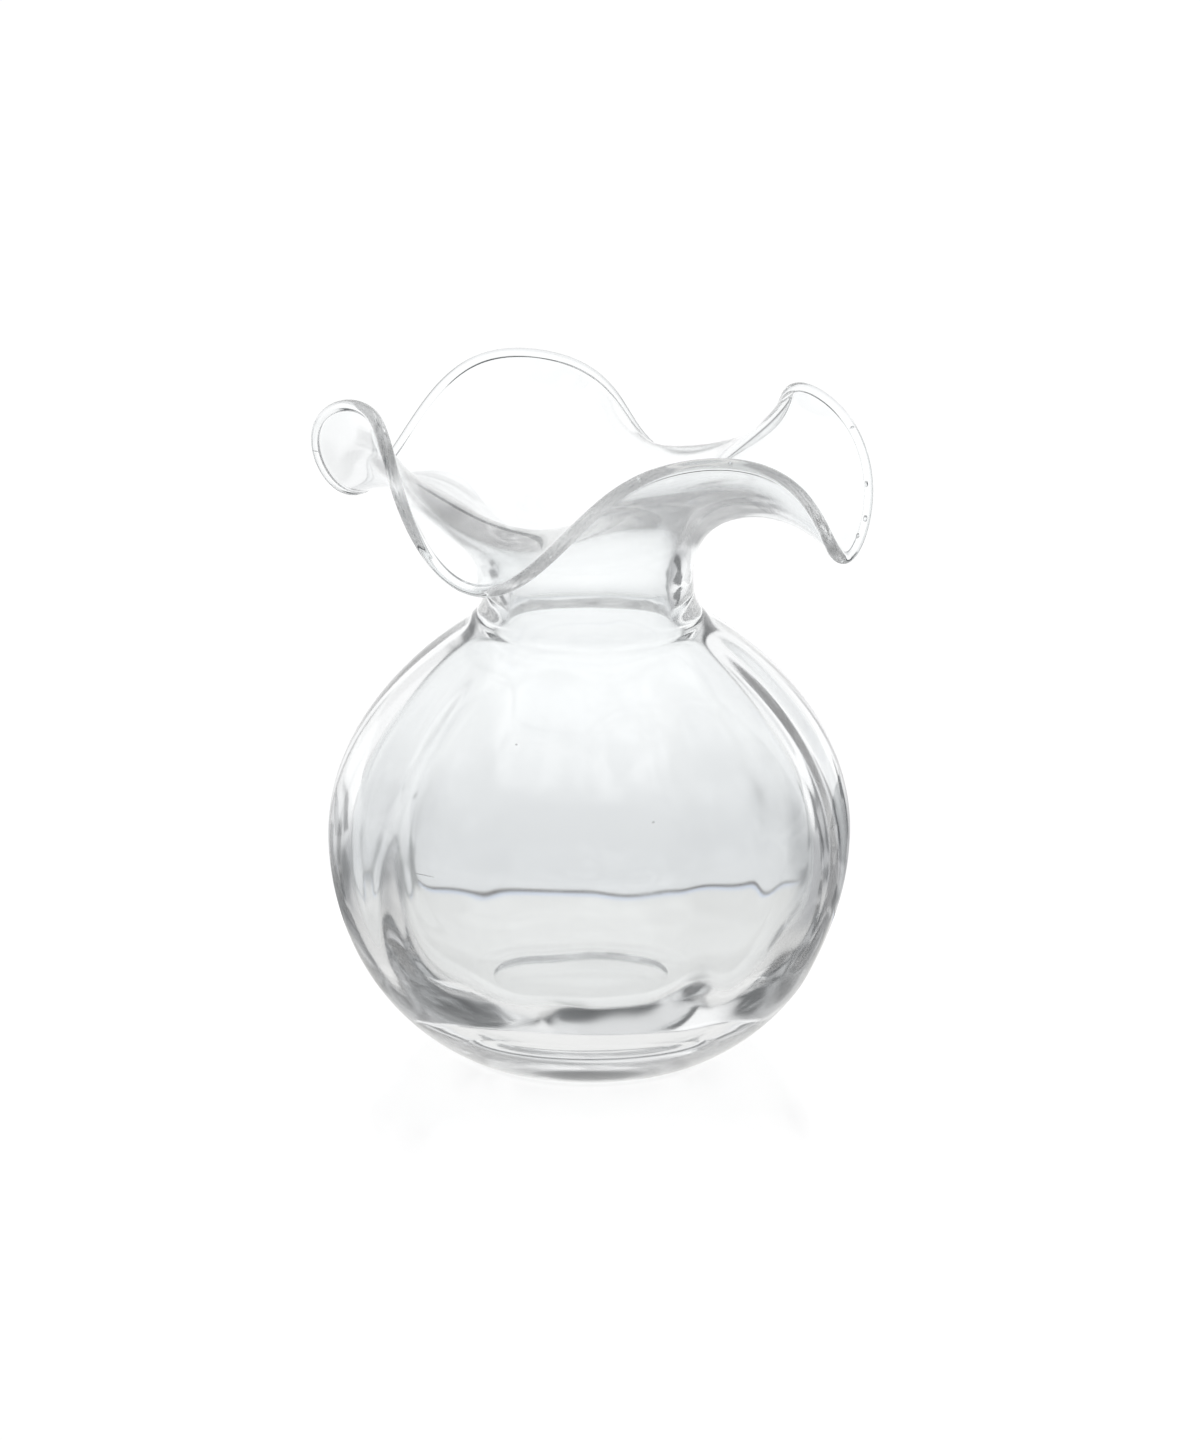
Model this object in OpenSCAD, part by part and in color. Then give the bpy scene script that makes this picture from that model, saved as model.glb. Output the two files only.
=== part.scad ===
// Blown glass vase: a round body with eight soft lobes, a waisted neck and a ruffled lip.
// The origin is on the table, under the middle of the foot. The front faces -Y.

/* [Body] */
// Radius of the body at its widest
body_r = 63; // [50:1:80]
// Height of the widest place above the table
body_mid_h = 52.4; // [46:0.2:56]
// Height from the widest place up to where the round outline would close
shoulder_rise = 64.5; // [60:0.5:70]
// Depth below the table at which the belly's outline would close
belly_below = 6.5; // [3:0.1:14]
// How lean the shoulder is: 1 is an ellipse, less is fuller
shoulder_power = 1.4; // [1:0.02:1.6]
// How lean the belly is
belly_power = 0.82; // [0.6:0.02:1.2]
// Thickness of the glass at the widest place
body_wall = 6.4; // [4:0.1:8]

/* [Lobes] */
// Number of lobes left by the optic mould
lobe_count = 8; // [5:1:12]
// Depth of the crease between two lobes on the outside
crease_depth = 0.8; // [0.2:0.1:2]
// Depth of the ridge behind the same crease on the inside
ridge_depth = 1.7; // [0.2:0.1:2.5]
// Direction of the first crease, in degrees
lobe_turn = -102.5; // [-180:0.5:180]

/* [Foot] */
// Thickness of glass under the middle of the floor
floor_wall = 12.5; // [10:0.5:15]
// How round the floor is: 1 is an ellipse, less is flatter
floor_power = 0.6; // [0.5:0.02:1]
// Height from the middle of the floor up to the seam where the belly's wall starts
seam_rise = 3.5; // [1:0.5:6]
// Radius of the flat ring it stands on, as a share of the radius where its side would meet the table
ring_share = 0.83; // [0.7:0.01:0.95]
// Height of the rounded corner outside the ring
corner_h = 0.8; // [0.4:0.1:2]
// Rise of the underside on its way from the ring to that corner
underside_rise = 0.2; // [0.1:0.05:0.4]
// Radius of the polished hollow inside the ring, as a share of the ring's
hollow_share = 0.87; // [0.5:0.01:0.95]
// Depth of the hollow
hollow_depth = 1.2; // [0.5:0.1:2.5]

/* [Neck] */
// Radius of the shoulder where the neck starts to rise
shoulder_r = 34; // [31:0.5:38]
// Radius of the neck at its waist
neck_r = 24.6; // [20:0.2:28]
// Height of the waist above the shoulder
neck_h = 14; // [11:0.5:20]
// Thickness of the glass at the waist
neck_wall = 5.6; // [3.5:0.1:7]

/* [Lip] */
// Mean radius of the ruffled edge
lip_r = 60; // [56:0.5:72]
// Mean height of the ruffled edge above the waist
lip_rise = 27.5; // [24:0.5:36]
// Height of the ruffle's waves above and below their mean
ruffle_h = 16; // [6:0.5:18]
// Direction of the first low wave, in degrees
ruffle_turn = -115; // [-180:1:180]
// Height over which the flare leaves the waist upright
flare_rise = 22; // [16:0.5:26]
// Radius of the ring that the flare bends over
fold_r = 50; // [44:0.5:54]
// Height of that ring above the waist
fold_rise = 23.5; // [18:0.5:28]
// How much higher that ring is on its high side
fold_lean = 3.5; // [0:0.5:6]
// Direction of its high side, in degrees
fold_lean_turn = -10; // [-180:5:180]
// Thickness of the glass next to the edge
lip_wall = 2.4; // [1.6:0.1:2.8]
// Diameter of the fire-polished bead
rim_d = 3; // [3:0.1:4]

/* [Hidden] */
$fn = 192;

// Columns round the glass, six for each of the sixteen ruffle stations
columns = 96;
body_outer_rows = 9;
body_inner_rows = 8;
foot_rows = 14;
corner_rows = 6;
neck_rows = 14;
flare_rows = 5;
ruffle_rows = 5;
bead_rows = 9;

// Four waves of four stations: low, rising, high, falling
ruffle_twists = [3, 2, 0, 4, 1, -1, 4, -2, 5, -2, -3, -1, 0, -1, 0, 0];
ruffle_reach_share = [
    1.05, 1.05, 0.93, 1.01,
    1.05, 1.08, 0.93, 0.97,
    1.04, 1.05, 0.93, 0.965,
    1.02, 1.07, 0.915, 0.97
];
ruffle_height_share = [
    -0.95, 0.15, 0.70, 0.35,
    -1.00, -0.10, 0.80, 0.00,
    -0.83, 0.20, 0.92, 0.36,
    -0.78, 0.36, 1.07, 0.12
];
// How far the shoulder and the waist carry on straight before the neck curves
shoulder_ease_share = 0.46;
waist_ease_share = 0.64;
inner_ease_share = 0.2;
// How narrow the creases are, and how fast they fade at both ends
crease_power = 2;
fade_power = 6;
// How late the lip thins on its way to the edge
thin_power = 3;
// How flat the hollow's middle is: 2 is a round dome, more is flatter
hollow_power = 6;
// Where the flare hands over to the ruffle, as a share of the way to the edge
ruffle_share = 0.5;

stations = len(ruffle_reach_share);
rim_r = rim_d / 2;
bead_turn = 180 - asin(lip_wall / rim_d);

belly_drop = body_mid_h + belly_below;
foot_h = floor_wall + seam_rise;
inner_r = body_r - body_wall;
inner_rise = shoulder_rise - body_wall;
inner_drop = body_mid_h - floor_wall;
waist_inner_r = neck_r - neck_wall;

// A point [radius, height] of a round outline, at a turn up or down from its widest place
function outline(wide, rise, power, turn) = [wide * pow(cos(turn), power), body_mid_h + rise * sin(turn)];
function outer_point(turn) = turn > 0
    ? outline(body_r, shoulder_rise, shoulder_power, turn)
    : outline(body_r, belly_drop, belly_power, turn);
function inner_point(turn) = turn > 0
    ? outline(inner_r, inner_rise, shoulder_power, turn)
    : outline(inner_r, inner_drop, floor_power, turn);

shoulder_turn = acos(pow(shoulder_r / body_r, 1 / shoulder_power));
shoulder_h = outer_point(shoulder_turn)[1];
waist_h = shoulder_h + neck_h;
table_r = outer_point(-asin(body_mid_h / belly_drop))[0];
ring_r = ring_share * table_r;
hollow_r = hollow_share * ring_r;
corner_turn = -asin((body_mid_h - corner_h) / belly_drop);
foot_turn = -asin((body_mid_h - foot_h) / belly_drop);
inner_foot_turn = -asin((body_mid_h - foot_h) / inner_drop);
inner_shoulder_turn = asin((shoulder_h - body_mid_h) / inner_rise);

function unit(v) = v / norm(v);
function between(a, b, share) = a + (b - a) * share;
function steps(n) = [for (i = [0 : n]) i / n];
function backwards(list) = [for (i = [len(list) - 1 : -1 : 0]) list[i]];
function wrap(i, n) = (i + n) % n;
function around(turn, p) = [p[0] * cos(turn), p[0] * sin(turn), p[1]];

// A Bezier curve through two ends and two handles, and its direction
function curve(a, b, c, d, t) =
    pow(1 - t, 3) * a + 3 * pow(1 - t, 2) * t * b + 3 * (1 - t) * t * t * c + pow(t, 3) * d;
function curve_way(a, b, c, d, t) =
    pow(1 - t, 2) * (b - a) + 2 * (1 - t) * t * (c - b) + t * t * (d - c);

// Triangles over a grid of closed columns and closed rows, seen from outside.
// Two grids that meet along a seam split its squares along the same diagonal.
function grid_faces(cols, rows, falling) = [
    for (i = [0 : cols - 1])
        for (j = [0 : rows - 1])
            let (
                a = i * rows + j,
                b = wrap(i + 1, cols) * rows + j,
                c = wrap(i + 1, cols) * rows + wrap(j + 1, rows),
                d = i * rows + wrap(j + 1, rows)
            )
            each falling ? [[a, d, c], [a, c, b]] : [[a, d, b], [b, d, c]]
];
module closed_grid(grid, falling = true) {
    polyhedron([for (column = grid) each column], grid_faces(len(grid), len(grid[0]), falling));
}

// The creases between lobes: 1 in a crease, 0 on a lobe, fading out towards the foot and the neck
function crease(turn) = pow((1 + cos(lobe_count * (turn - lobe_turn))) / 2, crease_power);
function fade(share) = pow(1 - pow(share, fade_power), 2);
function lobed(p, depth, turn, share) = around(turn, [p[0] - depth * crease(turn) * fade(share), p[1]]);

// A value at any turn of the ruffle, as one smooth wave through its stations
function station_pull(turn) = abs(sin(turn / 2)) < 1e-6
    ? 1
    : sin(stations * turn / 2) / (stations * tan(turn / 2));
function sum(list, i = 0) = i < len(list) ? list[i] + sum(list, i + 1) : 0;
function wave(values, turn) =
    sum([for (i = [0 : stations - 1]) values[i] * station_pull(turn - i * 360 / stations)]);

// The lip's middle surface at one column: its turn and the four points of its curve
function lip_column(turn) =
    let (
        way = ruffle_turn + turn + wave(ruffle_twists, turn),
        waist = [(neck_r + waist_inner_r) / 2, waist_h],
        upright = waist + [0, flare_rise],
        fold = [fold_r, waist_h + fold_rise + fold_lean * cos(way - fold_lean_turn)],
        edge = [
            lip_r * wave(ruffle_reach_share, turn),
            waist_h + lip_rise + ruffle_h * wave(ruffle_height_share, turn)
        ]
    )
    [way, waist, upright, fold, edge];
function lip_point(c, t) = around(c[0], curve(c[1], c[2], c[3], c[4], t));
function lip_way(c, t) = around(c[0], curve_way(c[1], c[2], c[3], c[4], t));
function lip_thickness(t) = between(lip_wall, neck_wall, pow(1 - t * t, thin_power));

lip_columns = [for (i = [0 : columns - 1]) lip_column(i * 360 / columns)];
// The direction round the glass, and the outward normal, at column i
function lip_round(i, t) =
    lip_point(lip_columns[wrap(i + 1, columns)], t) - lip_point(lip_columns[wrap(i - 1, columns)], t);
function lip_normal(i, t) = unit(cross(lip_round(i, t), lip_way(lip_columns[i], t)));
// A point on the bead round the edge: turn 0 is its outermost line
function bead_point(i, turn) =
    let (
        normal = lip_normal(i, 1),
        out = unit(cross(normal, lip_round(i, 1)))
    )
    lip_point(lip_columns[i], 1) + rim_r * (cos(turn) * out + sin(turn) * normal);
// The skin at column i and share t, outside for side 1 and inside for side -1
function skin_point(i, t, side) =
    lip_point(lip_columns[i], t) + side * lip_thickness(t) / 2 * lip_normal(i, t);

// The thick foot: the polished hollow, the flat ring, the outside up to the seam, then the inner floor
module foot() {
    hollow = [for (s = steps(foot_rows)) [hollow_r * s, hollow_depth * (1 - pow(s, hollow_power))]];
    ring_edge = [ring_r, 0];
    handle = [table_r, underside_rise];
    corner_end = outer_point(corner_turn);
    corner = [for (s = steps(corner_rows)) curve(ring_edge, handle, handle, corner_end, s)];
    side = [for (s = steps(foot_rows)) if (s > 0) outer_point(between(corner_turn, foot_turn, s))];
    inside = [for (s = steps(foot_rows)) inner_point(between(inner_foot_turn, -90, s))];
    color("azure")
        rotate_extrude()
            polygon([each hollow, each corner, each side, each inside]);
}

// Half of the blown bubble, between its widest place and the turns at its far end
module half_body(outer_end, inner_end) {
    closed_grid([
        for (i = [0 : columns - 1])
            let (
                turn = i * 360 / columns,
                column = [
                    for (s = steps(body_outer_rows - 1))
                        lobed(outer_point(outer_end * s), crease_depth, turn, s),
                    for (s = backwards(steps(body_inner_rows - 1)))
                        lobed(inner_point(inner_end * s), ridge_depth, turn, s)
                ]
            )
            outer_end > 0 ? column : backwards(column)
    ]);
}

// The lower half of the bubble, down to the foot's seam
module belly() {
    color("lightcyan") half_body(foot_turn, inner_foot_turn);
}

// The upper half of the bubble, up to the neck
module shoulder() {
    color("lightblue") half_body(shoulder_turn, inner_shoulder_turn);
}

// The shoulder's rise and the waist, one turned ring
module neck() {
    small = 0.01;
    outer_start = outer_point(shoulder_turn);
    inner_start = inner_point(inner_shoulder_turn);
    outer_way = unit(outer_start - outer_point(shoulder_turn - small));
    inner_way = unit(inner_start - inner_point(inner_shoulder_turn - small));
    outer_end = [neck_r, waist_h];
    inner_end = [waist_inner_r, waist_h];
    outside = [
        for (s = steps(neck_rows))
            curve(outer_start, outer_start + neck_h * shoulder_ease_share * outer_way,
                outer_end - [0, neck_h * waist_ease_share], outer_end, s)
    ];
    inside = [
        for (s = backwards(steps(neck_rows)))
            curve(inner_start, inner_start + neck_h * inner_ease_share * inner_way,
                inner_end - [0, neck_h * waist_ease_share], inner_end, s)
    ];
    color("azure")
        rotate_extrude()
            polygon([each outside, each inside]);
}

// The flare, from the waist to where the ruffle starts
module flare() {
    color("lightcyan")
        closed_grid([
            for (i = [0 : columns - 1])
                [
                    for (s = steps(flare_rows - 1)) skin_point(i, ruffle_share * s, 1),
                    for (s = backwards(steps(flare_rows - 1))) skin_point(i, ruffle_share * s, -1)
                ]
        ]);
}

// The ruffle, from the flare to the seam behind the bead
module ruffle() {
    shares = [for (k = [0 : ruffle_rows - 1]) between(ruffle_share, 1, k / ruffle_rows)];
    color("azure")
        closed_grid([
            for (i = [0 : columns - 1])
                [
                    for (t = shares) skin_point(i, t, 1),
                    bead_point(i, bead_turn),
                    bead_point(i, -bead_turn),
                    for (t = backwards(shares)) skin_point(i, t, -1)
                ]
        ], falling = false);
}

// The fire-polished bead along the edge
module rim() {
    color("lightblue")
        closed_grid([
            for (i = [0 : columns - 1])
                [for (s = steps(bead_rows - 1)) bead_point(i, between(bead_turn, -bead_turn, s))]
        ]);
}

foot();
belly();
shoulder();
neck();
flare();
ruffle();
rim();
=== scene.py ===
"""The blown glass vase in clear glass: seven pieces of fine skins, with floor, light and camera."""
from math import acos, asin, cos, pi, radians, sin, sqrt

import bpy
import numpy as np
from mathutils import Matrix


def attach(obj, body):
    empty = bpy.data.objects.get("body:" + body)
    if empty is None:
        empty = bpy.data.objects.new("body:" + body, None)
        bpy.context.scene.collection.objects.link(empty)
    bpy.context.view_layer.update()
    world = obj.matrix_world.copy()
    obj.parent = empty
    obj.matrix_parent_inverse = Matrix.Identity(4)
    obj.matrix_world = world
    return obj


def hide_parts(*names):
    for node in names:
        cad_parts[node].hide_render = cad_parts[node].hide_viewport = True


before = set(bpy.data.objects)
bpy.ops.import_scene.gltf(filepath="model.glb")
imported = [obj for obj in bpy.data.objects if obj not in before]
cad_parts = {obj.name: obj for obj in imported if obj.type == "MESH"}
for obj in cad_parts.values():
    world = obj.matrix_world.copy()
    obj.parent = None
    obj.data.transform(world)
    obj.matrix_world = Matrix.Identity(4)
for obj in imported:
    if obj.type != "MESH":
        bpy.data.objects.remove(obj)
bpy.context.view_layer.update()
MM = 0.001

# The sizes of part.scad, in millimetres and radians
body_r, body_mid_h, shoulder_rise, belly_drop = 63.0, 52.4, 64.5, 58.9
shoulder_power, belly_power, body_wall = 1.4, 0.82, 6.4
lobe_count, crease_depth, ridge_depth, lobe_turn = 8, 0.8, 1.7, radians(-102.5)
foot_h, floor_wall, floor_power, ring_share, hollow_share = 16.0, 12.5, 0.6, 0.83, 0.87
corner_h, underside_rise, hollow_depth, hollow_power = 0.8, 0.2, 1.2, 6
shoulder_r, neck_r, neck_h, neck_wall = 34.0, 24.6, 14.0, 5.6
lip_reach, lip_rise, ruffle_h, ruffle_turn = 60.0, 27.5, 16.0, radians(-115)
flare_rise, fold_r, fold_rise, fold_lean, fold_lean_turn = 22.0, 50.0, 23.5, 3.5, radians(-10)
lip_wall, rim_r, ruffle_share = 2.4, 1.5, 0.5
ruffle_twists = np.radians([3, 2, 0, 4, 1, -1, 4, -2, 5, -2, -3, -1, 0, -1, 0, 0])
reach_share = np.array([1.05, 1.05, 0.93, 1.01, 1.05, 1.08, 0.93, 0.97,
                        1.04, 1.05, 0.93, 0.965, 1.02, 1.07, 0.915, 0.97])
height_share = np.array([-0.95, 0.15, 0.70, 0.35, -1.00, -0.10, 0.80, 0.00,
                         -0.83, 0.20, 0.92, 0.36, -0.78, 0.36, 1.07, 0.12])
shoulder_ease, waist_ease, inner_ease = 0.46, 0.64, 0.2
crease_power, fade_power, thin_power = 2, 6, 3

inner_r, inner_rise, inner_drop = body_r - body_wall, shoulder_rise - body_wall, body_mid_h - floor_wall
waist_inner_r = neck_r - neck_wall
shoulder_t = acos((shoulder_r / body_r) ** (1 / shoulder_power))
shoulder_h = body_mid_h + shoulder_rise * sin(shoulder_t)
waist_h = shoulder_h + neck_h
table_r = body_r * cos(asin(body_mid_h / belly_drop)) ** belly_power
ring_r = ring_share * table_r
hollow_r = hollow_share * ring_r
foot_t = -asin((body_mid_h - foot_h) / belly_drop)
inner_foot_t = -asin((body_mid_h - foot_h) / inner_drop)
inner_shoulder_t = asin((shoulder_h - body_mid_h) / inner_rise)

# How fine the skins are: columns round the glass, and rows up each skin
COLUMNS = 384
corner_rows, foot_rows, ring_rows, hollow_rows, floor_rows = 24, 40, 12, 40, 64
belly_rows, shoulder_rows, neck_rows, flare_rows, ruffle_rows = 44, 60, 28, 34, 32
swell_rows, bead_rows = 6, 15
seed_columns, seed_rows, pole_gap = 16, 9, 0.02
# The pinholes in the middle of the polished hollow, as a share of its radius, and of the inner floor
hollow_gap, floor_gap = 0.002, 0.1
# How far the bead is drawn in, so that the scene stays inside the solids' box
bead_inset = 0.13
# The stations of the ruffle's wave, how near a turn counts as at one, and the step for slopes
STATIONS = 16
AT_STATION = 1e-9
STEP = 1e-4

# Two seeds and one short drawn-out one in the front wall:
# direction in degrees, radius, height, size, length as a share of the size
wall_seeds = (
    (-75.3, 56.5, 72.6, 0.45, 1.2),
    (-110.7, 47.0, 87.6, 0.4, 1.2),
    (-128.0, 60.5, 57.6, 0.25, 22),
)
wall_seed_lean = 0.05
# Seeds in the bead: column, place across the bead, size, length as a share of the size
bead_seeds = (
    (38, 0.5, 1.0, 1.3),
    (60, 0.3, 0.9, 1.2),
    (15, -0.2, 0.7, 1.6),
    (97, 0.4, 0.9, 1.4),
    (108, -0.4, 1.1, 1.5),
    (112, 0.2, 0.6, 3.0),
    (118, 0.0, 0.5, 4.0),
    (128, 0.3, 0.6, 1.2),
)
# A short line across the bead at the left: column, size, length as a share of the size
line_column, line_size, line_long = 308, 0.35, 7

turns = np.arange(COLUMNS) * 2 * pi / COLUMNS


def outline(wide, up, power_up, down, power_down, t):
    c = np.maximum(np.cos(t), 0)
    r = wide * np.where(t > 0, c**power_up, c**power_down)
    return r, body_mid_h + np.where(t > 0, up, down) * np.sin(t)


def outer(t):
    return outline(body_r, shoulder_rise, shoulder_power, belly_drop, belly_power, t)


def inner(t):
    return outline(inner_r, inner_rise, shoulder_power, inner_drop, floor_power, t)


def wave(values, turn):
    """A value at any turn of the ruffle, as one smooth wave through its sixteen stations."""
    d = turn - (np.arange(STATIONS) * 2 * pi / STATIONS).reshape((STATIONS,) + (1,) * np.ndim(turn))
    near = np.abs(np.sin(d / 2)) < AT_STATION
    pull = np.where(near, 1.0, np.sin(STATIONS / 2 * d) / (STATIONS * np.tan(np.where(near, 1.0, d / 2))))
    return np.tensordot(values, pull, 1)


def azimuth(turn):
    return ruffle_turn + turn + wave(ruffle_twists, turn)


def curve(a, b, c, d, t):
    return (1 - t) ** 3 * a + 3 * (1 - t) ** 2 * t * b + 3 * (1 - t) * t * t * c + t**3 * d


def around(way, r, z):
    return np.stack([r * np.cos(way), r * np.sin(way), z + 0 * r * way], -1)


def unit(v):
    return v / np.linalg.norm(v, axis=-1, keepdims=True)


def body_skin(profile, t, depth, far, turn):
    """One skin of the round body with its eight soft creases."""
    r, z = profile(t)
    crease = ((1 + np.cos(lobe_count * (azimuth(turn) - lobe_turn))) / 2) ** crease_power
    fade = (1 - np.minimum(np.abs(t / far), 1) ** fade_power) ** 2
    return around(azimuth(turn), r - depth * crease * fade, z)


def lip_middle(turn, t):
    way = azimuth(turn)
    mid = (neck_r + waist_inner_r) / 2
    edge_r = lip_reach * wave(reach_share, turn)
    edge_z = waist_h + lip_rise + ruffle_h * wave(height_share, turn)
    fold_z = waist_h + fold_rise + fold_lean * np.cos(way - fold_lean_turn)
    r = curve(mid, mid, fold_r, edge_r, t)
    z = curve(waist_h, waist_h + flare_rise, fold_z, edge_z, t)
    return around(way, r, z)


def lip_frame(turn, t):
    """The lip's middle surface, its normal, the direction round the glass and the slope up the lip."""
    p = lip_middle(turn, t)
    round_ = unit(lip_middle(turn + STEP, t) - lip_middle(turn - STEP, t))
    way = lip_middle(turn, t + STEP) - lip_middle(turn, t - STEP)
    return p, unit(np.cross(round_, way)), round_, way / (2 * STEP)


def lip_skin(turn, t, side):
    p, normal, _, _ = lip_frame(turn, t)
    half = (lip_wall + (neck_wall - lip_wall) * (1 - t * t) ** thin_power) / 2
    return p + side * half[..., None] * normal


def skin_normals(surface, u, v, outward):
    across = surface(u + STEP, v) - surface(u - STEP, v)
    along = surface(u, v + STEP) - surface(u, v - STEP)
    return outward * unit(np.cross(across, along))


class Piece:
    """A mesh of open skins that meet the neighbouring pieces' skins edge to edge."""

    def __init__(self, name, node):
        self.name, self.node = name, node
        self.points, self.normals, self.faces, self.count = [], [], [], 0

    def add(self, points, normals):
        """A grid of columns and rows, closed round the columns."""
        cols, rows = points.shape[:2]
        i, j = np.meshgrid(np.arange(cols), np.arange(rows - 1), indexing="ij")
        k = (i + 1) % cols
        corners = [i * rows + j, k * rows + j, k * rows + j + 1, i * rows + j + 1]
        quads = np.stack(corners, -1).reshape(-1, 4)
        p, n = points.reshape(-1, 3), normals.reshape(-1, 3)
        a, b, c, d = (p[quads[:, m]] for m in range(4))
        facing = (np.cross(c - a, d - b) * n[quads[:, 0]]).sum()
        if facing < 0:
            quads = quads[:, ::-1]
        self.points.append(p)
        self.normals.append(n)
        self.faces.append(quads + self.count)
        self.count += len(p)

    def skin(self, surface, t, outward):
        """A parametric skin at all turns and the rows t; outward is 1 or -1, towards the air."""
        u, v = np.meshgrid(turns, t, indexing="ij")
        self.add(surface(u, v), skin_normals(surface, u, v, outward))

    def seed(self, at, size, along, long):
        """A seed: a small bubble of air inside the glass, drawn out to a line if long is large."""
        a, b = np.meshgrid(np.arange(seed_columns) * 2 * pi / seed_columns,
                           np.linspace(pole_gap, pi - pole_gap, seed_rows), indexing="ij")
        ball = np.stack([np.sin(b) * np.cos(a), np.sin(b) * np.sin(a), np.cos(b)], -1)
        along = unit(np.array(along, float))
        share = (ball @ along)[..., None] * along
        points = np.array(at) + size / 2 * (ball + (long - 1) * share)
        self.add(points, -unit(ball + (1 / long - 1) * share))

    def build(self, material):
        mesh = bpy.data.meshes.new(self.name)
        points = np.concatenate(self.points) * MM
        faces = np.concatenate(self.faces)
        mesh.from_pydata(points.tolist(), [], faces.tolist())
        mesh.polygons.foreach_set("use_smooth", [True] * len(mesh.polygons))
        mesh.normals_split_custom_set_from_vertices(np.concatenate(self.normals).tolist())
        mesh.materials.append(material)
        piece = bpy.data.objects.new(self.name, mesh)
        bpy.context.scene.collection.objects.link(piece)
        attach(piece, "root")
        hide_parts(self.node)


def turned(r, z, outward):
    """A turned skin from a profile of radii and heights."""
    dr, dz = np.gradient(r), np.gradient(z)
    way = azimuth(turns)[:, None]
    points = around(way, r[None, :], z[None, :])
    flat = unit(np.stack([dz, -dr], -1)) * outward
    normals = np.stack([flat[:, 0] * np.cos(way), flat[:, 0] * np.sin(way), flat[:, 1] + 0 * way], -1)
    return points, normals


class Graph:
    """Short calls for a tree of shader nodes."""

    def __init__(self, tree):
        self.tree = tree

    def node(self, kind, inputs=(), **settings):
        made = self.tree.nodes.new("ShaderNode" + kind)
        for key, value in settings.items():
            setattr(made, key, value)
        for k, value in enumerate(inputs):
            self.put(made, k, value)
        return made

    def put(self, node, key, value):
        if isinstance(value, bpy.types.NodeSocket):
            self.tree.links.new(value, node.inputs[key])
        elif value is not None:
            node.inputs[key].default_value = value

    def math(self, operation, *inputs):
        return self.node("Math", inputs, operation=operation).outputs[0]

    def product(self, first, *others):
        for other in others:
            first = self.math("MULTIPLY", first, other)
        return first

    def ease(self, value, start, end):
        """Goes smoothly from 0 at start to 1 at end."""
        return self.node("MapRange", (value, start, end), interpolation_type="SMOOTHSTEP").outputs[0]

    def mix(self, share, a, b):
        made = self.node("Mix", data_type="RGBA")
        self.put(made, 0, share)
        self.put(made, 6, a)
        self.put(made, 7, b)
        return made.outputs[2]

    def noise(self, where, scale, detail):
        return self.node("TexNoise", (where, None, scale, detail)).outputs[0]

    def place(self):
        """The point on the object, in metres."""
        return self.node("TexCoord").outputs["Object"]


def grey(tone, green=0.005, blue=0.01):
    """A grey with a trace of colour: a little cool as it stands."""
    return tone, tone + green, tone + blue, 1


WHITE = (1, 1, 1, 1)


def glass_material():
    """Clear, fire-polished glass with slow waves in the wall and a slight haze that comes and goes."""
    mat = bpy.data.materials.new("clear_glass")
    mat.use_nodes = True
    g = Graph(mat.node_tree)
    bsdf = mat.node_tree.nodes["Principled BSDF"]
    g.put(bsdf, "Base Color", (0.95, 0.962, 0.965, 1))
    g.put(bsdf, "Transmission Weight", 1)
    g.put(bsdf, "IOR", 1.5)
    bump = g.node("Bump")
    g.put(bump, "Strength", 0.15)
    g.put(bump, "Distance", 0.0006)
    g.put(bump, "Height", g.noise(g.place(), 20, 1.5))
    g.put(bsdf, "Normal", bump.outputs["Normal"])
    haze = g.node("MapRange", (g.noise(g.place(), 60, 2), 0.45, 0.75, 0.05, 0.07))
    g.put(bsdf, "Roughness", haze.outputs[0])
    return mat


glass = glass_material()

# The thick foot: outside with its rounded corner, ground ring, polished hollow and the inner floor
foot = Piece("foot_glass", "foot")
t = np.linspace(foot_t, -asin((body_mid_h - corner_h) / belly_drop), foot_rows)
r, z = (a[::-1] for a in outer(t))
s = np.linspace(0, 1, corner_rows)[:-1]
corner_r = curve(ring_r, table_r, table_r, r[0], s)
corner_z = curve(0, underside_rise, underside_rise, corner_h, s)
foot.add(*turned(np.concatenate([corner_r, r]), np.concatenate([corner_z, z]), 1))
flat = np.linspace(hollow_r, ring_r, ring_rows)
foot.add(*turned(flat, 0 * flat, 1))
s = np.linspace(hollow_gap, 1, hollow_rows)
foot.add(*turned(hollow_r * s, hollow_depth * (1 - s**hollow_power), 1))
r = np.linspace(floor_gap, float(inner(np.array(inner_foot_t))[0]), floor_rows)
z = inner(-np.arccos((r / inner_r) ** (1 / floor_power)))[1]
foot.add(*turned(r, z, -1))
foot.build(glass)

belly = Piece("belly_glass", "belly")
belly.skin(lambda u, v: body_skin(outer, v, crease_depth, foot_t, u),
           np.linspace(foot_t, 0, belly_rows), 1)
belly.skin(lambda u, v: body_skin(inner, v, ridge_depth, inner_foot_t, u),
           np.linspace(inner_foot_t, 0, belly_rows), -1)
belly.build(glass)

shoulder = Piece("shoulder_glass", "shoulder")
shoulder.skin(lambda u, v: body_skin(outer, v, crease_depth, shoulder_t, u),
              np.linspace(0, shoulder_t, shoulder_rows), 1)
shoulder.skin(lambda u, v: body_skin(inner, v, ridge_depth, inner_shoulder_t, u),
              np.linspace(0, inner_shoulder_t, shoulder_rows), -1)
for degrees, r, z, size, long in wall_seeds:
    way = radians(degrees)
    shoulder.seed((r * cos(way), r * sin(way), z), size, (-sin(way), cos(way), wall_seed_lean), long)
shoulder.build(glass)


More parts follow.
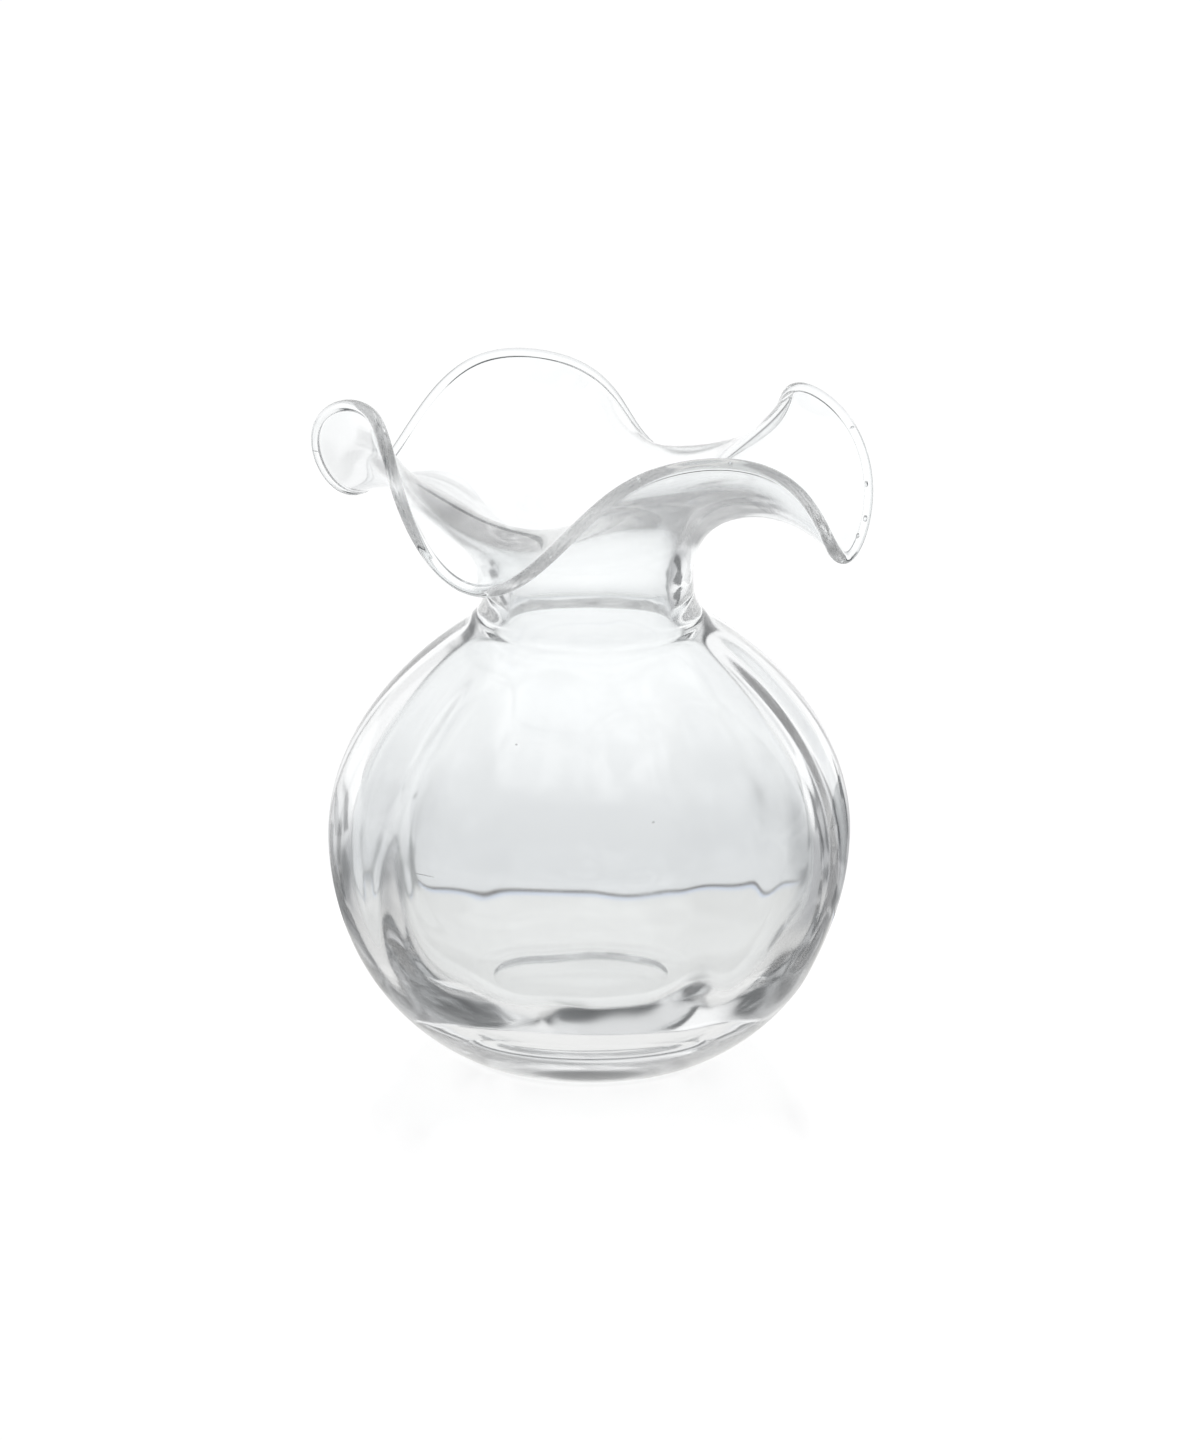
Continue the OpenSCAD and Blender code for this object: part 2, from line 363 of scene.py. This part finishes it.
def neck_profile(profile, start_t, end_r, ease):
    a = np.array([float(x) for x in profile(np.array(start_t))])
    b = np.array([float(x) for x in profile(np.array(start_t - STEP))])
    way = (a - b) / np.linalg.norm(a - b)
    end = np.array([end_r, waist_h])
    s = np.linspace(0, 1, neck_rows)[:, None]
    p = curve(a, a + neck_h * ease * way, end - np.array([0, neck_h * waist_ease]), end, s)
    return p[:, 0], p[:, 1]


neck = Piece("neck_glass", "neck")
neck.add(*turned(*neck_profile(outer, shoulder_t, neck_r, shoulder_ease), 1))
neck.add(*turned(*neck_profile(inner, inner_shoulder_t, waist_inner_r, inner_ease), -1))
neck.build(glass)

flare = Piece("flare_glass", "flare")
for side in (1, -1):
    flare.skin(lambda u, v: lip_skin(u, v, side), np.linspace(0, ruffle_share, flare_rows), side)
flare.build(glass)

# The ruffle stops where the bead starts; the bead swells a little and rounds off the edge
edge, edge_normal, edge_round, edge_way = lip_frame(turns, np.ones(COLUMNS))
edge_out = unit(np.cross(edge_normal, edge_round))
edge = edge - bead_inset * edge_out
tail = rim_r + sqrt(rim_r**2 - (lip_wall / 2) ** 2)
reach_back = (tail - rim_r) / (edge_way * edge_out).sum(-1)


def bead_row(s, half, slope, side):
    """The bead at a distance s behind its tip, with its half thickness and its slope."""
    at = edge + (rim_r - s) * edge_out + side * half * edge_normal
    return at, unit(slope * edge_out + side * edge_normal)


ruffle = Piece("ruffle_glass", "ruffle")
share = np.linspace(0, 1, ruffle_rows)
u = np.repeat(turns[:, None], ruffle_rows, 1)
v = ruffle_share + (1 - reach_back[:, None] - ruffle_share) * share[None, :]
for side in (1, -1):
    points = lip_skin(u, v, side)
    normals = skin_normals(lambda a, b: lip_skin(a, b, side), u, v, side)
    points[:, -1], normals[:, -1] = bead_row(tail, lip_wall / 2, 0, side)
    ruffle.add(points, normals)
ruffle.build(glass)

rim = Piece("rim_glass", "rim")
rows = []
swell = rim_r - lip_wall / 2
for s in np.linspace(tail, rim_r, swell_rows)[:-1]:
    phase = pi * (s - rim_r) / (tail - rim_r)
    half = lip_wall / 2 + swell * (1 + cos(phase)) / 2
    rows.append((s, half, -swell * pi / 2 / (tail - rim_r) * sin(phase)))
column = [bead_row(*row, 1) for row in rows]
for b in np.linspace(pi / 2, -pi / 2, bead_rows):
    direction = cos(b) * edge_out + sin(b) * edge_normal
    column.append((edge + rim_r * direction, direction))
column += [bead_row(*row, -1) for row in reversed(rows)]
rim.add(np.stack([p for p, _ in column], 1), np.stack([n for _, n in column], 1))
for k, across, size, long in bead_seeds:
    rim.seed(edge[k] + across * edge_out[k], size, edge_round[k], long)
rim.seed(edge[line_column], line_size, edge_out[line_column], line_long)
rim.build(glass)


def sheet(name, half, z, material):
    """A square sheet of the stage."""
    mesh = bpy.data.meshes.new(name)
    corners = [(-half, -half, z), (half, -half, z), (half, half, z), (-half, half, z)]
    mesh.from_pydata(corners, [], [(0, 1, 2, 3)])
    mesh.materials.append(material)
    made = bpy.data.objects.new(name, mesh)
    bpy.context.scene.collection.objects.link(made)
    return made


def floor_material():
    """A pale floor with a faint gloss round the foot."""
    mat = bpy.data.materials.new("floor")
    mat.use_nodes = True
    g = Graph(mat.node_tree)
    bsdf = mat.node_tree.nodes["Principled BSDF"]
    g.put(bsdf, "Base Color", grey(0.12, 0, 0))
    g.put(bsdf, "Roughness", 0.15)
    g.put(bsdf, "IOR", 1.65)
    g.put(bsdf, "Emission Color", WHITE)
    y = g.node("SeparateXYZ", (g.place(),)).outputs["Y"]
    gloss = g.product(g.ease(y, -0.090, -0.045), g.ease(y, 0.110, 0.040))
    g.put(bsdf, "Specular IOR Level", g.product(gloss, 0.5))
    g.put(bsdf, "Emission Strength", g.math("MULTIPLY_ADD", gloss, -0.14, 0.96))
    return mat


def emitter(name, shade):
    """A material that only glows; shade makes its colour from a Graph."""
    mat = bpy.data.materials.new(name)
    mat.use_nodes = True
    mat.node_tree.nodes.clear()
    g = Graph(mat.node_tree)
    glow = g.node("Emission", (shade(g),))
    g.node("OutputMaterial", (glow.outputs[0],))
    return mat


def table_and_painted_shade(g):
    """What the glass bends into view, painted: a bright table, a thin dark line across it, painted shade
    beside the vase and painted dark gaps aside.
    """
    at = g.node("SeparateXYZ", (g.place(),))
    x, y = at.outputs["X"], at.outputs["Y"]
    away = g.math("ABSOLUTE", x)
    near_soft, far_soft = 0.01, 0.015

    def strip(start_x, start_y, slope, half, soft, low, high):
        """A strip of the table that leans aside with its distance, between two distances."""
        lean = g.math("ADD", g.math("MULTIPLY", g.math("SUBTRACT", y, start_y), slope), start_x)
        off = g.math("ABSOLUTE", g.math("SUBTRACT", x, lean))
        return g.product(g.ease(off, half + soft, half), g.ease(y, low - near_soft, low),
                         g.ease(y, high + far_soft, high))

    def card(left, right, low, high, soft=0.01):
        """A soft-edged rectangle of the table."""
        return g.product(g.ease(x, left - soft, left), g.ease(x, right + soft, right),
                         g.ease(y, low - soft, low), g.ease(y, high + soft, high))

    # The middle: a warm table up to the line, a cool one that brightens behind it; both are painted
    # darker away from the middle, as painted shade that brings out the creases
    table = g.mix(g.ease(away, 0.03, 0.09), grey(0.90, -0.005, -0.015), grey(0.74, -0.005, -0.015))
    near = g.mix(g.ease(away, 0.03, 0.10), grey(0.86, 0.005, 0.015), grey(0.70, 0.005, 0.015))
    behind = g.mix(g.ease(y, 0.06, 0.40), near, grey(1.13, 0, 0))
    line_y = 0.078
    shade = g.mix(g.math("GREATER_THAN", y, line_y), table, behind)
    shade = g.mix(g.math("COMPARE", y, line_y - 0.0025, 0.0015), shade, (0.74, 0.80, 0.92, 1))
    shade = g.mix(g.math("COMPARE", y, line_y, 0.0012), shade, (0.13, 0.115, 0.105, 1))

    # The sides: painted shade beside the vase, which darkens the body's edges as seen through the glass
    left_painted_shade = g.product(g.ease(x, -0.070, -0.090), g.ease(x, -0.50, -0.30),
                          g.ease(y, 0.140, 0.100), g.ease(y, -0.01, 0.06))
    right_painted_shade = g.product(g.ease(x, 0.070, 0.090), g.ease(x, 0.50, 0.30),
                           g.ease(y, 0.24, 0.14), g.ease(y, -0.02, 0.02))
    shade = g.mix(g.math("ADD", left_painted_shade, right_painted_shade), shade, grey(0.50, 0.005, 0.015))

    # Painted shade: dark gaps, each with its tone, that put dark bands and lines in the glass; all places
    # and widths are in metres
    painted_shade_gaps = (
        (card(-0.150, -0.105, 0.060, 0.095, 0.035), 0.25),
        (strip(-0.085, 0.080, -0.68, 0.012, 0.010, 0.075, 0.170), 0.30),
        (strip(0.125, 0.120, 0.565, 0.018, 0.009, 0.118, 0.340), 0.10),
        (card(0.086, 0.102, 0.068, 0.084), 0.17),
        (card(-0.245, -0.180, 0.155, 0.270), 0.30),
        (card(0.190, 0.280, 0.200, 0.320), 0.20),
    )
    for share, tone in painted_shade_gaps:
        shade = g.mix(share, shade, grey(tone))
    return shade


# The floor is seen by the camera and lit by the room. The glowing table just below it, with its painted
# light and shade, is seen only in and through the glass, and the upright backdrop only in the floor's and
# the glass's gloss
floor_half, floor_z, table_z = 4, -0.0002, -0.0004
backdrop_half, backdrop_y = 7, 2.6
floor = sheet("floor", floor_half, floor_z, floor_material())
floor.visible_glossy = floor.visible_transmission = False
# A glowing sheet seen only in and through the glass: painted light, with painted shade in its dim sides
# and dark gaps
table_with_painted_shade = sheet("table_with_painted_shade", floor_half, table_z, emitter("table_with_painted_shade", table_and_painted_shade))
table_with_painted_shade.visible_camera = table_with_painted_shade.visible_diffuse = table_with_painted_shade.visible_shadow = False
backdrop = sheet("backdrop", backdrop_half, 0, emitter("backdrop", lambda g: WHITE))
backdrop.location = (0, backdrop_y, backdrop_half)
backdrop.rotation_euler = (pi / 2, 0, 0)
backdrop.visible_camera = backdrop.visible_diffuse = backdrop.visible_transmission = False
backdrop.visible_shadow = False


def studio():
    """The room: a low white backdrop, dim patchy sides, a dark band above and a bright ceiling."""
    world = bpy.data.worlds.new("studio")
    world.use_nodes = True
    g = Graph(world.node_tree)
    direction = g.node("TexCoord").outputs["Generated"]
    to = g.node("SeparateXYZ", (direction,))
    aside, back, up = g.math("ABSOLUTE", to.outputs["X"]), to.outputs["Y"], to.outputs["Z"]
    room = g.noise(direction, 4, 2)

    patches = g.mix(g.ease(room, 0.46, 0.60), grey(0.07), grey(0.50, 0.01, 0.02))
    sides = g.mix(g.ease(up, 0.0, 0.25), grey(0.50, 0, 0.01), patches)
    walls = g.mix(g.ease(back, -0.4, -0.7), sides, grey(0.30, 0, 0.005))
    far = g.ease(back, 0.55, 0.8)
    far_wall = g.mix(g.ease(up, 0.30, 0.38), grey(0.07), grey(0.75))
    sky = g.mix(far, walls, far_wall)

    # The white part of the far wall reaches higher at its two ends
    height = g.math("SUBTRACT", up, g.product(g.ease(aside, 0.25, 0.45), 0.2))
    sky = g.mix(g.product(far, g.ease(height, 0.09, 0.03)), sky, WHITE)

    panel = g.mix(g.ease(room, 0.40, 0.55), grey(0.55), grey(1.2, 0, 0))
    ceiling = g.product(g.ease(up, 0.60, 0.72), g.ease(aside, 0.62, 0.52))
    g.put(world.node_tree.nodes["Background"], "Color", g.mix(ceiling, sky, panel))
    return world


# The photo's frame and the camera worked out from it: sizes and places in its pixels
photo_w, photo_h = 1200, 1440
focal, axis_x, axis_y = 4152, 589.6, 800.1
tilt, distance, aim_z = radians(18.2), 1, 0.06

scene = bpy.context.scene
scene.world = studio()
data = bpy.data.cameras.new("camera")
data.sensor_fit, data.sensor_width, data.lens = "AUTO", 36, 36 * focal / photo_h
data.shift_x = (photo_w / 2 - axis_x) / photo_h
data.shift_y = (axis_y - photo_h / 2) / photo_h
data.clip_start = 0.01
camera = bpy.data.objects.new("camera", data)
camera.location = (0, -distance * cos(tilt), aim_z + distance * sin(tilt))
camera.rotation_euler = (pi / 2 - tilt, 0, 0)
scene.collection.objects.link(camera)
bpy.context.scene.camera = camera

# Light that is caught in the wall is followed for many bounces
bounces = 64
scene.view_settings.view_transform = "Standard"
scene.cycles.max_bounces = scene.cycles.transmission_bounces = scene.cycles.glossy_bounces = bounces
scene.cycles.transparent_max_bounces = 16
